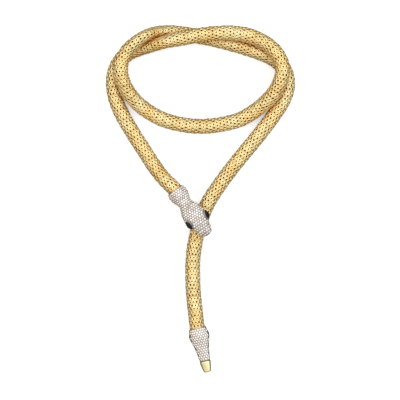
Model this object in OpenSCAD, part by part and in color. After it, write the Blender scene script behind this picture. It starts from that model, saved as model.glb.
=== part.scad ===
// Snake lariat necklace, laid flat in its double wrap.
// +Z is up, the surface it lies on is z = 0, and the origin is the middle of its footprint.
// The tail end hangs down -Y. Every length is in millimetres.

/* [Chain] */
// Outside diameter of the mesh chain where nothing presses on it
chain_d = 12; // [11.6:0.1:12]
// Sides of the plain tube that has the woven mesh's outer form
chain_sides = 12; // [8:2:12]
// Longest stretch of chain between two rings of the tube
ring_step = 15.5; // [12:0.5:24]
// Clearance round a chain end in its socket, and between the two lengths of chain
seat_gap = 0.15; // [0.1:0.05:0.2]

/* [Head] */
// Length of the head casting, from its collar to the snout
head_l = 44.6; // [42:0.2:46]
// Greatest width of the head casting, between the eyes
head_w = 19.4; // [18:0.2:20]
// Direction of the snout, turned from +X
head_yaw = -53.3; // [-56:0.1:-50]
// Depth of the socket that each chain end is soldered into
socket_depth = 5.2; // [4.8:0.1:6]
// Length of each eye stone
eye_l = 7.8; // [6:0.1:8.4]
// Width of each eye stone
eye_w = 4.2; // [3:0.1:4.6]
// Height of each eye stone
eye_h = 1.6; // [1:0.1:2]

/* [Pave] */
// Diameter of a crystal
crystal_d = 1.85; // [1.5:0.05:1.9]
// Distance between neighbouring crystals on the head
head_pitch = 2.1; // [2.1:0.05:2.6]
// Distance between neighbouring crystals on the tail cap
tail_pitch = 2.2; // [2.1:0.05:2.8]
// Height of a crystal's crown over the casting
crown_h = 0.55; // [0.4:0.05:0.7]
// Gap under each crystal
crystal_gap = 0.16; // [0.14:0.02:0.2]

/* [Tail] */
// Length of the pave cap on the tail
cap_l = 27; // [25:0.5:29]
// Greatest width of the cap casting
cap_w = 16.6; // [16:0.2:17]
// Length of the plain gold tip
tip_l = 9.2; // [8:0.2:10]
// Direction of the tail end, turned from +X
tail_yaw = -77; // [-79:0.5:-75]
// Gap between the cap and the tip
tip_gap = 0.1; // [0.05:0.05:0.2]

/* [Slide loop] */
// Outside radius of the loop under the head, before its two flats
loop_r = 7.6; // [7.4:0.05:7.7]
// Clearance of the chain that slides in the loop
loop_gap = 0.35; // [0.3:0.05:0.5]
// Length of the loop along the chain
loop_l = 6; // [5:0.5:7]
// Direction of the chain in the loop, turned from +X
loop_yaw = -105.7; // [-108:0.1:-103]

/* [Hidden] */

bore_r = chain_d / 2 + seat_gap;
// How far each end of the chain reaches into its socket
chain_seat = socket_depth - 0.2;

// The chain's middle line from the head's socket to the tail's, with columns
// x, y, z, half width in plan. Where two strands press together the tube is
// narrower and as much taller. One line of points for each stretch.
route = [
    // out of the head, down to the surface and up the left arm
    [-17.3, 4.4, 13, 6], [-20.9, 9.2, 13, 6], [-28.3, 16.5, 10.6, 6], [-36, 26, 7.3, 6],
    [-43.5, 37.5, 6, 6], [-53.5, 53, 6, 6], [-61, 65.5, 6, 6], [-67, 79, 6, 6],
    // round the left, under the inner strand, and up across the top
    [-69.6, 91, 6, 6], [-68.6, 103, 6, 6], [-64.2, 112, 6, 6], [-57.5, 117.8, 6, 6],
    [-50, 120.4, 6.6, 5.4], [-41.2, 122.7, 9.4, 4.5], [-29.5, 126, 15.8, 5], [-15, 129.2, 18.1, 5.9],
    [0, 131.9, 18.4, 6], [13, 133.2, 17.9, 6], [26, 133.6, 15.8, 6], [38.5, 131.6, 14.5, 6],
    // down the right side on top of the outer strand
    [50.5, 126.3, 15.4, 6], [59, 119.3, 17.8, 6], [64, 111.3, 18.4, 6], [65.4, 103, 18.4, 6],
    [63.6, 95, 17.1, 6], [59.4, 86.8, 14.9, 6], [53.2, 79.7, 11.5, 6], [45.2, 73, 7.7, 6],
    // the bottom of the inner loop
    [32.5, 65.3, 6, 6], [17, 61, 6, 6], [0, 59.4, 6, 6], [-17, 61.2, 6, 6],
    [-31, 65.3, 6, 6], [-43, 72, 7.1, 6], [-51.3, 78.7, 10.1, 6], [-57.5, 86.2, 13.6, 6],
    // up the left side on top of the outer strand, and down again past it
    [-61.8, 94.5, 16.6, 6], [-63.7, 103, 18.3, 6], [-62.9, 111.2, 18.5, 6], [-59.3, 118.2, 18.5, 5.7],
    [-53.3, 124.7, 18.7, 5.3], [-45, 130.9, 15.9, 4.6], [-36, 134.3, 9.1, 4.5], [-26, 134.9, 6.6, 5.4],
    // along the surface under the other strand, to the right
    [-14, 133.3, 6, 6], [0, 131, 6, 6], [13, 128.3, 6, 6], [26, 125, 6, 6],
    [38.5, 121.3, 6, 6], [50.5, 117, 6, 6], [60, 112.2, 6, 6], [66.5, 105.8, 6, 6],
    [69.5, 97, 6, 6], [69, 88, 6, 6], [65.6, 79, 6, 6], [58.6, 68.2, 6, 6],
    // down the right arm, through the loop under the head, and along the tail
    [47.7, 53.5, 6, 6], [35.7, 39, 6, 6], [24.7, 25.3, 6, 6], [15.1, 12.3, 6, 6],
    [6.5, -1, 6.3, 6], [1.6, -12, 7, 6], [-1.2, -21, 7.2, 6], [-3.9, -32, 6.8, 6],
    [-5.8, -44, 6.1, 6], [-6.2, -58, 6, 6], [-5.8, -72, 6, 6], [-4.2, -88, 6.3, 6],
    [-2.5, -101.6, 7, 6], [-1.3, -107, 7, 6],
];
last = len(route) - 1;
// The point at the bottom of the inner loop, where the two lengths of chain meet
meeting = 30;
loop_at = route[62];
// The mouths of the two sockets, back from the ends of the chain in them
collar = route[0] - chain_seat * [cos(head_yaw), sin(head_yaw), 0, 0];
cap_mouth = route[last] - chain_seat * [cos(tail_yaw), sin(tail_yaw), 0, 0];

// Shares of the head's length and half width, then underside and top heights
head_shares = [
    [0, 0.72, 6.1, 19.9], [0.036, 0.75, 5.9, 20.2], [0.09, 0.81, 5.6, 20.7], [0.152, 0.77, 6, 20.8],
    [0.215, 0.64, 7.9, 20.6], [0.287, 0.55, 10.3, 20.8], [0.348, 0.62, 12, 21.6], [0.413, 0.79, 13.2, 22.7],
    [0.484, 0.88, 13.9, 23.7], [0.556, 0.96, 14.3, 24.3], [0.646, 1, 14.5, 24.6], [0.717, 0.94, 14.5, 24.3],
    [0.771, 0.78, 14.5, 23.6], [0.843, 0.62, 14.5, 22.6], [0.915, 0.53, 14.6, 21.7], [0.96, 0.44, 14.9, 20.8],
    [0.987, 0.29, 15.6, 19.8], [1, 0.11, 16.6, 18.7],
];
// Shares of the cap's length and half width, then underside and top heights
cap_shares = [
    [0, 0.84, 0, 14], [0.067, 0.86, 0, 14], [0.148, 0.94, 0, 14], [0.222, 1, 0, 13.9], [0.326, 0.93, 0, 13.2],
    [0.444, 0.82, 0, 12.1], [0.544, 0.73, 0, 11], [0.641, 0.66, 0, 9.9], [0.748, 0.61, 0, 8.9],
    [0.87, 0.55, 0, 7.8], [1, 0.49, 0, 7],
];
// Shares of the tip's length and of the cap's half width, then underside and top heights
tip_shares = [
    [0, 0.55, 0, 7.4], [0.2, 0.52, 0, 6.9], [0.55, 0.45, 0, 5.8], [0.85, 0.38, 0, 4.8], [0.97, 0.33, 0, 4.2],
    [1, 0.26, 0.4, 3.4],
];
head_form = [for (row = head_shares) [row[0] * head_l, row[1] * head_w / 2, row[2], row[3]]];
cap_form = [for (row = cap_shares) [row[0] * cap_l, row[1] * cap_w / 2, row[2], row[3]]];
tip_form = [for (row = tip_shares) [cap_l + tip_gap + row[0] * tip_l, row[1] * cap_w / 2, row[2], row[3]]];

// A casting's section is a round-backed oval with a flatter belly
widest_level = 0.5;
back_power = 2.1;
belly_power = 3;
casting_sides = 24;

// A crystal is an eight-sided crown with a table
crystal_sides = 8;
table_share = 0.58;
// Angles from the crown of a casting down which crystals are set
head_spread = 76;
tail_spread = 60;
arc_step = 4;
// Margins of plain metal at the ends of the crystal fields
field_margin = 1.3;
snout_margin = 1.8;

// The eyes' place along the head, and their height up the side as an angle
eye_station = 30.3;
eye_angle = 35;
eye_sides = 16;
eye_rim = 0.35;

function spot(p) = [p.x, p.y, p.z];
function unit(v) = v / norm(v);
function span(i) = norm(spot(route[i + 1]) - spot(route[i]));

// Slope of the route at one of its points, weighted by the spans beside it
function slope(i) =
    i == 0 ? (route[1] - route[0]) / span(0)
    : i == last ? (route[last] - route[last - 1]) / span(last - 1)
    : (span(i) * (route[i] - route[i - 1]) / span(i - 1)
        + span(i - 1) * (route[i + 1] - route[i]) / span(i)) / (span(i - 1) + span(i));

// A point at share t of span i, kept up on the surface
function along(i, t) =
    let (q = (2 * t ^ 3 - 3 * t ^ 2 + 1) * route[i] + (t ^ 3 - 2 * t ^ 2 + t) * span(i) * slope(i)
            + (3 * t ^ 2 - 2 * t ^ 3) * route[i + 1] + (t ^ 3 - t ^ 2) * span(i) * slope(i + 1))
    [q.x, q.y, max(q.z, chain_d - q[3]), q[3]];

// The stations along the chain from route point a up to route point b
function stations(a, b) = [
    for (i = [a:b - 1])
        let (steps = ceil(span(i) / ring_step))
        for (k = [0:steps - 1]) along(i, k / steps)
];
line = [each stations(0, last), route[last]];
middle = len(stations(0, meeting));

// The way the chain runs at station k
function way(k) = unit(spot(line[min(k + 1, len(line) - 1)]) - spot(line[max(k - 1, 0)]));

// The corners of one ring of the tube, square to its way, and shifted back along it
function ring(k, shift = 0) =
    let (side = unit(cross(way(k), [0, 0, 1])), up = cross(side, way(k)), half = line[k][3])
    [for (j = [0:chain_sides - 1])
        let (a = 360 * j / chain_sides)
        spot(line[k]) - shift * way(k) + half * cos(a) * side + (chain_d - half) * sin(a) * up];

// Triangles round the sides of stacked rings, and one flat face at each end
function stack_faces(rings, sides) = [
    [for (j = [sides - 1:-1:0]) j],
    for (k = [0:rings - 2], j = [0:sides - 1])
        let (a = k * sides + j, b = k * sides + (j + 1) % sides)
        each [[a, b + sides, a + sides], [a, b, b + sides]],
    [for (j = [0:sides - 1]) (rings - 1) * sides + j],
];

module tube(rings) {
    polyhedron(points = [for (r = rings) each r], faces = stack_faces(len(rings), chain_sides));
}

function signed_power(v, e) = sign(v) * abs(v) ^ e;
function column(form, c) = [for (row = form) [row[0], row[c]]];

// A point of a casting's skin at station s and angle a round its section
function skin(form, s, a) =
    let (
        half = lookup(s, column(form, 1)),
        low = lookup(s, column(form, 2)),
        high = lookup(s, column(form, 3)),
        middle = low + widest_level * (high - low),
        reach = sin(a) > 0 ? high - middle : middle - low,
        power = 2 / (sin(a) > 0 ? back_power : belly_power)
    )
    [s, half * signed_power(cos(a), power), middle + reach * signed_power(sin(a), power)];

function skin_out(form, s, a) =
    unit(cross(skin(form, s, a + 3) - skin(form, s, a - 3), skin(form, s + 0.4, a) - skin(form, s - 0.4, a)));

// Skin lengths and angles down one side of a section, from its crown
function arc_table(form, s, spread) = [
    for (a = 90, length = 0; a >= 90 - spread;
            length = length + norm(skin(form, s, a - arc_step) - skin(form, s, a)), a = a - arc_step)
        [length, 90 - a]
];

// Stations and angles of a field of crystals in staggered rows
function field(form, from, to, pitch, spread) =
    let (row_pitch = pitch * sin(60), rows = floor((to - from) / row_pitch))
    [for (r = [0:rows])
        let (
            s = from + r * row_pitch,
            arcs = arc_table(form, s, spread),
            shift = (r % 2) * pitch / 2,
            count = floor((arcs[len(arcs) - 1][0] + shift) / pitch)
        )
        for (k = [-count:count])
            let (u = k * pitch + (k < 0 ? 1 : -1) * shift)
            if (shift == 0 || k != 0)
                [s, 90 + sign(u) * lookup(abs(u), arcs)]];

// Whether a crystal at p is clear of an eye whose middle is at q
function clear_of(p, q) =
    ((p.x - q.x) / (eye_l / 2 + crystal_d / 2)) ^ 2
    + ((p.y - q.y) / (eye_w / 2 + crystal_d / 2 + eye_rim)) ^ 2 > 1;

module casting(form, sides) {
    polyhedron(
        points = [for (row = form, j = [0:sides - 1]) skin(form, row[0], -360 * j / sides)],
        faces = stack_faces(len(form), sides)
    );
}

// A crystal's crown, standing on point p and facing out
module crystal(p, out) {
    e = unit(cross(out, [0, 1, 0.3]));
    f = cross(out, e);
    r = crystal_d / 2;
    polyhedron(
        points = [
            for (level = [[0, 1], [1, table_share]], j = [0:crystal_sides - 1])
                let (a = 360 * (j + 0.5) / crystal_sides, w = r * level[1])
                p + (crystal_gap + level[0] * crown_h) * out - w * cos(a) * e + w * sin(a) * f
        ],
        faces = stack_faces(2, crystal_sides)
    );
}

module crystals(form, spots) {
    for (q = spots) crystal(skin(form, q[0], q[1]), skin_out(form, q[0], q[1]));
}

// A pointed oval stone with a girdle and a table, lying along the head
module eye(side) {
    a = side > 0 ? eye_angle : 180 - eye_angle;
    p = skin(head_form, eye_station, a);
    out = skin_out(head_form, eye_station, a);
    e = unit(skin(head_form, eye_station + 3, a) - skin(head_form, eye_station - 3, a));
    f = cross(out, e);
    polyhedron(
        points = [
            for (level = [[0, 0.8], [0.35, 1], [1, 0.6]], j = [0:eye_sides - 1])
                let (t = 360 * j / eye_sides, l = eye_l / 2 * level[1], w = eye_w / 2 * level[1])
                p + (crystal_gap + level[0] * eye_h) * out + l * cos(t) * e
                    - w * signed_power(sin(t), 2) * f
        ],
        faces = stack_faces(3, eye_sides)
    );
}

module at_head() {
    translate([collar.x, collar.y, 0]) rotate([0, 0, head_yaw]) children();
}

module at_tail() {
    translate([cap_mouth.x, cap_mouth.y, 0]) rotate([0, 0, tail_yaw]) children();
}

module socket(height) {
    translate([-1, 0, height]) rotate([0, 90, 0]) cylinder(r = bore_r, h = socket_depth + 1, $fn = 96);
}

module chain_head_half() {
    color([0.83, 0.66, 0.36]) tube([for (k = [0:middle]) ring(k, k == middle ? seat_gap : 0)]);
}

module chain_tail_half() {
    color([0.80, 0.62, 0.32]) tube([for (k = [middle:len(line) - 1]) ring(k)]);
}

module head_shell() {
    color([0.80, 0.80, 0.82]) at_head() difference() {
        casting(head_form, casting_sides);
        socket(collar.z);
    }
}

module head_stones() {
    eyes = [for (a = [eye_angle, 180 - eye_angle]) skin(head_form, eye_station, a)];
    all = field(head_form, field_margin, head_l - snout_margin, head_pitch, head_spread);
    free = [for (q = all)
        let (p = skin(head_form, q[0], q[1]))
        if (clear_of(p, eyes[0]) && clear_of(p, eyes[1])) q];
    color([0.93, 0.95, 0.98]) at_head() crystals(head_form, free);
}

module eye_left() {
    color([0.05, 0.05, 0.06]) at_head() eye(-1);
}

module eye_right() {
    color([0.05, 0.05, 0.06]) at_head() eye(1);
}

// A plain soldered band round the chain, flat where it lies and where the head sits on it
module slide_loop() {
    color([0.78, 0.60, 0.30]) translate([loop_at.x, loop_at.y, 0]) rotate([0, 0, loop_yaw])
        intersection() {
            translate([0, 0, loop_at.z]) rotate([0, 90, 0]) difference() {
                cylinder(r = loop_r, h = loop_l, center = true, $fn = 96);
                cylinder(r = chain_d / 2 + loop_gap, h = loop_l + 1, center = true, $fn = 96);
            }
            translate([-loop_l, -loop_r - 1, 0]) cube([2 * loop_l, 2 * loop_r + 2, 2 * loop_at.z]);
        }
}

module tail_cap() {
    color([0.80, 0.80, 0.82]) at_tail() difference() {
        casting(cap_form, casting_sides);
        socket(cap_mouth.z);
    }
}

module tail_stones() {
    color([0.93, 0.95, 0.98]) at_tail()
        crystals(cap_form, field(cap_form, field_margin, cap_l - field_margin, tail_pitch, tail_spread));
}

module tail_tip() {
    color([0.86, 0.70, 0.40]) at_tail() casting(tip_form, casting_sides);
}

chain_head_half();
chain_tail_half();
head_shell();
head_stones();
eye_left();
eye_right();
slide_loop();
tail_cap();
tail_stones();
tail_tip();
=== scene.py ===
"""Looks of the snake necklace, laid flat in its double wrap.

Everything is in metres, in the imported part's frame: +Z is up from the surface at z = 0, and the
tail end hangs down -Y.
"""

from __future__ import annotations

import logging
import math
from dataclasses import dataclass, field
from enum import Enum
from typing import Any, Iterable, NamedTuple, Sequence

import bpy
from bpy.types import Material, NodeSocket, Object
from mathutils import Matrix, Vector

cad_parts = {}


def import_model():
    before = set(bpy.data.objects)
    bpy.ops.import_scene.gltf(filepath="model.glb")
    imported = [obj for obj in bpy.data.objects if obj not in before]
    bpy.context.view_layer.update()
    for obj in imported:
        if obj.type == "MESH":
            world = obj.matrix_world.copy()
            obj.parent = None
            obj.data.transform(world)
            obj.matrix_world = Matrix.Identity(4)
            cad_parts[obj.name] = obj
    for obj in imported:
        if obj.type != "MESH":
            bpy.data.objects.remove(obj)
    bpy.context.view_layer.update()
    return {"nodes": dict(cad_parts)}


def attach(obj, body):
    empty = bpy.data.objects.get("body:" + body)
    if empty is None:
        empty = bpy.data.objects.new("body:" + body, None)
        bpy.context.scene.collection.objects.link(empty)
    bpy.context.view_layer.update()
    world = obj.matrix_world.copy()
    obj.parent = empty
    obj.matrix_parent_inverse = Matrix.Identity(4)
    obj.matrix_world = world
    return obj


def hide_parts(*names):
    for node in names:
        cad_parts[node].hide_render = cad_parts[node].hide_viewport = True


LOG = logging.getLogger("snake_necklace")
BODY = "root"
FULL_TURN = 2 * math.pi
MM = 0.001

Colour = tuple[float, float, float]
Face = tuple[int, ...]

# The chain's middle line, from the head's socket to the tail's, in millimetres: x, y, z, and the
# half width in plan where two strands press together
ROUTE_ROWS = (
    # out of the head, down to the surface and up the left arm
    (-17.3, 4.4, 13), (-20.9, 9.2, 13), (-28.3, 16.5, 10.6), (-36, 26, 7.3), (-43.5, 37.5, 6),
    (-53.5, 53, 6), (-61, 65.5, 6), (-67, 79, 6),
    # round the left, under the inner strand, and up across the top
    (-69.6, 91, 6), (-68.6, 103, 6), (-64.2, 112, 6), (-57.5, 117.8, 6), (-50, 120.4, 6.6, 5.4),
    (-41.2, 122.7, 9.4, 4.95), (-29.5, 126, 15.8, 5.1), (-15, 129.2, 18.1, 5.9), (0, 131.9, 18.4),
    (13, 133.2, 17.9), (26, 133.6, 15.8), (38.5, 131.6, 14.5),
    # down the right side on top of the outer strand
    (50.5, 126.3, 15.4), (59, 119.3, 17.8), (64, 111.3, 18.4), (65.4, 103, 18.4), (63.6, 95, 17.1),
    (59.4, 86.8, 14.9), (53.2, 79.7, 11.5), (45.2, 73, 7.7),
    # the bottom of the inner loop
    (32.5, 65.3, 6), (17, 61, 6), (0, 59.4, 6), (-17, 61.2, 6), (-31, 65.3, 6), (-43, 72, 7.1),
    (-51.3, 78.7, 10.1), (-57.5, 86.2, 13.6),
    # up the left side on top of the outer strand, and down again past it
    (-61.8, 94.5, 16.6), (-63.7, 103, 18.3), (-62.9, 111.2, 18.5), (-59.3, 118.2, 18.5, 5.7),
    (-53.3, 124.7, 18.7, 5.3), (-45, 130.9, 15.9, 4.8), (-36, 134.3, 9.1, 4.95),
    (-26, 134.9, 6.6, 5.4),
    # along the surface under the other strand, to the right
    (-14, 133.3, 6), (0, 131, 6), (13, 128.3, 6), (26, 125, 6), (38.5, 121.3, 6), (50.5, 117, 6),
    (60, 112.2, 6), (66.5, 105.8, 6), (69.5, 97, 6), (69, 88, 6), (65.6, 79, 6), (58.6, 68.2, 6),
    # down the right arm, through the loop under the head, and along the tail
    (47.7, 53.5, 6), (35.7, 39, 6), (24.7, 25.3, 6), (15.1, 12.3, 6), (6.5, -1, 6.3), (1.6, -12, 7),
    (-1.2, -21, 7.2), (-3.9, -32, 6.8), (-5.8, -44, 6.1), (-6.2, -58, 6), (-5.8, -72, 6),
    (-4.2, -88, 6.3), (-2.5, -101.6, 7), (-1.3, -107, 7),
)
ROUTE = [[value * MM for value in row] for row in ROUTE_ROWS]
CHAIN_DIAMETER = 0.012
# The route point where the chain's two nodes meet
MEETING = 30
HEAD_YAW = math.radians(-53.3)
TAIL_YAW = math.radians(-77)
# How far the chain's ends stand in the head and in the tail cap
CHAIN_SEAT = 0.005


class Slot(Enum):
    """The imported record's material slots."""

    GOLD_MESH = "gold_mesh"
    GOLD_METAL = "gold_metal"
    WHITE_METAL = "white_metal"
    CRYSTAL = "crystal"
    BLACK_STONE = "black_stone"


class Side(Enum):
    """The side of the head that an eye is on, seen from above with the tail towards you."""

    LEFT = "left"
    RIGHT = "right"


class Nodes:
    """Adds nodes to a shader or geometry tree and links them."""

    WIDE, TALL, PER_ROW = 220, 260, 9

    def __init__(self, tree: bpy.types.NodeTree) -> None:
        """Starts on an empty tree."""
        self.tree = tree

    def add(self, kind: str, feeds: dict[Any, Any] | None = None, **settings: Any) -> bpy.types.Node:
        """Adds one node.

        Args:
            kind: Blender's name for the node's type.
            feeds: Values or output sockets for its inputs, by name or number.
            **settings: Properties of the node.

        Returns:
            The new node.
        """
        row, column = divmod(len(self.tree.nodes), self.PER_ROW)
        node = self.tree.nodes.new(kind)
        node.location = (self.WIDE * column, -self.TALL * row)
        for name, value in settings.items():
            setattr(node, name, value)
        for name, value in (feeds or {}).items():
            self.feed(node.inputs[name], value)
        return node

    def feed(self, socket: NodeSocket, value: Any) -> None:
        """Links an output to an input socket, or sets the socket's own value.

        Args:
            socket: The input.
            value: An output socket, or a plain value.
        """
        if isinstance(value, NodeSocket):
            self.tree.links.new(value, socket)
        else:
            socket.default_value = value

    def result(self, kind: str, feeds: dict[Any, Any] | None = None, **settings: Any) -> NodeSocket:
        """Adds one node as add does, and returns its first output."""
        return self.add(kind, feeds, **settings).outputs[0]

    def math(self, operation: str, *values: Any) -> NodeSocket:
        """Adds a Math node and returns its result."""
        return self.result("ShaderNodeMath", dict(enumerate(values)), operation=operation)

    def vector(self, operation: str, *values: Any) -> NodeSocket:
        """Adds a Vector Math node and returns its vector."""
        return self.result("ShaderNodeVectorMath", dict(enumerate(values)), operation=operation)

    def scaled(self, vector: Any, factor: Any) -> NodeSocket:
        """Returns a vector times a number."""
        feeds = {"Vector": vector, "Scale": factor}
        return self.result("ShaderNodeVectorMath", feeds, operation="SCALE")

    def xyz(self, **parts: Any) -> NodeSocket:
        """Returns the vector with the given X, Y and Z."""
        return self.result("ShaderNodeCombineXYZ", parts)


class ShaderTree(Nodes):
    """The shader tree of a material or of the world, started empty."""

    def __init__(self, owner: Material | bpy.types.World) -> None:
        """Clears the tree of its owner.

        Args:
            owner: The material or the world.
        """
        owner.use_nodes = True
        owner.node_tree.nodes.clear()
        super().__init__(owner.node_tree)
        self.owner = owner

    def noise(self, scale: float, detail: float = 2.0) -> NodeSocket:
        """Returns a cloud that is fixed to the object."""
        place = self.add("ShaderNodeTexCoord").outputs["Object"]
        return self.result("ShaderNodeTexNoise", {"Vector": place, "Scale": scale, "Detail": detail})

    def ramp(
        self, value: Any, low: float, high: float, bottom: float = 0.0, top: float = 1.0
    ) -> NodeSocket:
        """Maps a value, from low to high, to a number from bottom to top, and no further."""
        feeds = {"Value": value, "From Min": low, "From Max": high, "To Min": bottom, "To Max": top}
        return self.result("ShaderNodeMapRange", feeds)

    def blend(self, share: NodeSocket, low: Any, high: Any) -> NodeSocket:
        """Mixes two colours.

        Args:
            share: The second colour's share.
            low: The first colour, or the socket that gives it.
            high: The second one, in the same way.

        Returns:
            The mixed colour.
        """
        low, high = ((*end, 1) if isinstance(end, tuple) else end for end in (low, high))
        feeds = {"Factor": share, 6: low, 7: high}
        return self.add("ShaderNodeMix", feeds, data_type="RGBA").outputs[2]

    def seen_directly(self) -> NodeSocket:
        """Returns 1 for what the camera sees directly, and 0 for reflections and for light."""
        return self.add("ShaderNodeLightPath").outputs["Is Camera Ray"]

    def surface(self, looks: dict[str, Any]) -> Material:
        """Ends a material in a Principled surface.

        Args:
            looks: The surface's inputs, by name.

        Returns:
            The finished material.
        """
        skin = self.result("ShaderNodeBsdfPrincipled", looks)
        self.add("ShaderNodeOutputMaterial", {"Surface": skin})
        return self.owner


class GeometryTree(Nodes):
    """A Geometry Nodes tree with named inputs, run on an object to give a plain mesh."""

    KINDS = {Object: "Object", Material: "Material", int: "Int", float: "Float"}

    def __init__(self, name: str, inputs: dict[str, Any]) -> None:
        """Makes the tree and its group inputs.

        Args:
            name: The tree's name.
            inputs: Each input's name and starting value, whose type sets the socket's.
        """
        super().__init__(bpy.data.node_groups.new(name, "GeometryNodeTree"))
        face = self.tree.interface
        face.new_socket(name="Geometry", in_out="INPUT", socket_type="NodeSocketGeometry")
        self.values = dict(inputs)
        self.keys: dict[str, str] = {}
        for label, value in inputs.items():
            kind = f"NodeSocket{self.KINDS[type(value)]}"
            item = face.new_socket(name=label, in_out="INPUT", socket_type=kind)
            if isinstance(value, (int, float)):
                item.default_value = value
            self.keys[label] = item.identifier
        face.new_socket(name="Geometry", in_out="OUTPUT", socket_type="NodeSocketGeometry")
        self.source = self.add("NodeGroupInput")

    def given(self, label: str) -> NodeSocket:
        """Returns the output that carries a named input."""
        return self.source.outputs[label]

    def solid(self, label: str) -> NodeSocket:
        """Returns the object that a named input holds, as an instance."""
        feeds = {"Object": self.given(label), "As Instance": True}
        return self.add("GeometryNodeObjectInfo", feeds).outputs["Geometry"]

    def attribute(self, name: str, kind: str) -> NodeSocket:
        """Returns a named attribute of the geometry, of Blender's data type kind."""
        return self.result("GeometryNodeInputNamedAttribute", {"Name": name}, data_type=kind)

    def random(self, low: Any, high: Any, salt: int) -> NodeSocket:
        """Draws a random number for each element, by the tree's seed.

        Args:
            low: The least value.
            high: The greatest value.
            salt: What sets this draw apart from the tree's others.

        Returns:
            The number.
        """
        seed = self.math("ADD", self.given("Seed"), float(salt))
        node = self.add("FunctionNodeRandomValue", {2: low, 3: high, "Seed": seed}, data_type="FLOAT")
        return node.outputs[1]

    def realized(self, geometry: NodeSocket) -> NodeSocket:
        """Returns the geometry with its instances made real."""
        return self.result("GeometryNodeRealizeInstances", {"Geometry": geometry})

    def end(self, geometry: NodeSocket) -> None:
        """Ends the tree in Realize Instances and Set Material."""
        feeds = {"Geometry": self.realized(geometry), "Material": self.given("Material")}
        self.add("NodeGroupOutput", {"Geometry": self.result("GeometryNodeSetMaterial", feeds)})

    def run(self, source: Object, name: str, **changed: Any) -> Object:
        """Runs the tree on an object and keeps the result as a plain mesh.

        Args:
            source: The object that the tree starts from, which is deleted.
            name: The new piece's name.
            **changed: Inputs that differ from the tree's own, with _ for each space.

        Returns:
            The new piece, with no modifier.
        """
        modifier = source.modifiers.new(name, "NODES")
        modifier.node_group = self.tree
        values = self.values | {key.replace("_", " "): value for key, value in changed.items()}
        for label, value in values.items():
            modifier[self.keys[label]] = value
        depsgraph = bpy.context.evaluated_depsgraph_get()
        mesh = bpy.data.meshes.new_from_object(source.evaluated_get(depsgraph))
        mesh.name = name
        source.modifiers.clear()
        bpy.data.objects.remove(source)
        return show(bpy.data.objects.new(name, mesh))


def show(item: Object) -> Object:
    """Puts an object in the scene and returns it."""
    bpy.context.scene.collection.objects.link(item)
    return item


def flat_solid(name: str, points: Sequence[Any], faces: Sequence[Face]) -> Object:
    """Makes a flat-faced mesh object outside the scene, such as a stone that is set many times.

    Args:
        name: The object's name.
        points: Its vertices.
        faces: Its faces, as vertex numbers, outward.

    Returns:
        The object, not linked to the scene.
    """
    mesh = bpy.data.meshes.new(name)
    mesh.from_pydata([tuple(p) for p in points], [], faces)
    mesh.update()
    return bpy.data.objects.new(name, mesh)


def mesh_object(
    name: str, points: Sequence[Vector], faces: Sequence[Face], smooth: bool = True
) -> Object:
    """Makes a mesh object in the scene, whose place is in its mesh.

    Args:
        name: The object's name.
        points: Its vertices, in the part's frame.
        faces: Its faces, as vertex numbers, outward.
        smooth: Whether its faces are shaded smooth.

    Returns:
        The object.
    """
    made = show(flat_solid(name, points, faces))
    made.data.polygons.foreach_set("use_smooth", [smooth] * len(made.data.polygons))
    made.data.validate()
    made.data.update()
    return made


def points_with(
    name: str, points: Sequence[Vector], edges: Sequence[Face], values: dict[str, list]
) -> Object:
    """Makes an object of points or edges that a tree starts from.

    Args:
        name: The object's name.
        points: Its vertices.
        edges: Its edges, as vertex numbers.
        values: A number or a vector for each vertex, by the attribute's name.

    Returns:
        The object, in the scene.
    """
    mesh = bpy.data.meshes.new(name)
    mesh.from_pydata([tuple(p) for p in points], edges, [])
    for label, column in values.items():
        if isinstance(column[0], Vector):
            data = mesh.attributes.new(label, "FLOAT_VECTOR", "POINT").data
            data.foreach_set("vector", [part for vector in column for part in vector])
        else:
            mesh.attributes.new(label, "FLOAT", "POINT").data.foreach_set("value", column)
    return show(bpy.data.objects.new(name, mesh))


def tube_faces(rings: int, sides: int, closed: bool = False) -> list[Face]:
    """Lists the faces of a tube, outward where its rings run anticlockwise seen from the last one.

    Args:
        rings: How many rings are stacked.
        sides: Corners in a ring.
        closed: Whether the first and the last ring are filled.

    Returns:
        Each face's corners, numbered ring by ring.
    """
    faces: list[Face] = []
    top = (rings - 1) * sides
    for low in range(0, top, sides):
        for j in range(sides):
            i = (j + 1) % sides
            faces.append((low + j, low + i, low + sides + i, low + sides + j))
    if closed:
        faces += [tuple(reversed(range(sides))), tuple(range(top, top + sides))]
    return faces


def collar_faces(rings: int, sides: int) -> list[Face]:
    """Lists the faces of a tube whose last ring meets its first again."""
    total = rings * sides
    return [tuple(corner % total for corner in face) for face in tube_faces(rings + 1, sides)]


def closed_shell(name: str, rings: Sequence[Sequence[Vector]], smooth: bool = True) -> Object:
    """Makes a closed solid through rings that run anticlockwise seen from the last one."""
    points = [p for ring in rings for p in ring]
    return mesh_object(name, points, tube_faces(len(rings), len(rings[0]), closed=True), smooth)


def cubic(t: float, reach: float, start: Any, leaving: Any, end: Any, arriving: Any) -> Any:
    """Returns the number or vector at one share of a smooth span.

    Args:
        t: The share of the span.
        reach: The span's length.
        start: The value at its start.
        leaving: The slope there.
        end: The value at its end.
        arriving: The slope there.

    Returns:
        The value there.
    """
    return (
        (2 * t**3 - 3 * t**2 + 1) * start
        + (t**3 - 2 * t**2 + t) * reach * leaving
        + (3 * t**2 - 2 * t**3) * end
        + (t**3 - t**2) * reach * arriving
    )


def coat(piece: Object, material: Material) -> None:
    """Makes a material a piece's only one."""
    piece.data.materials.clear()
    piece.data.materials.append(material)


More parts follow.
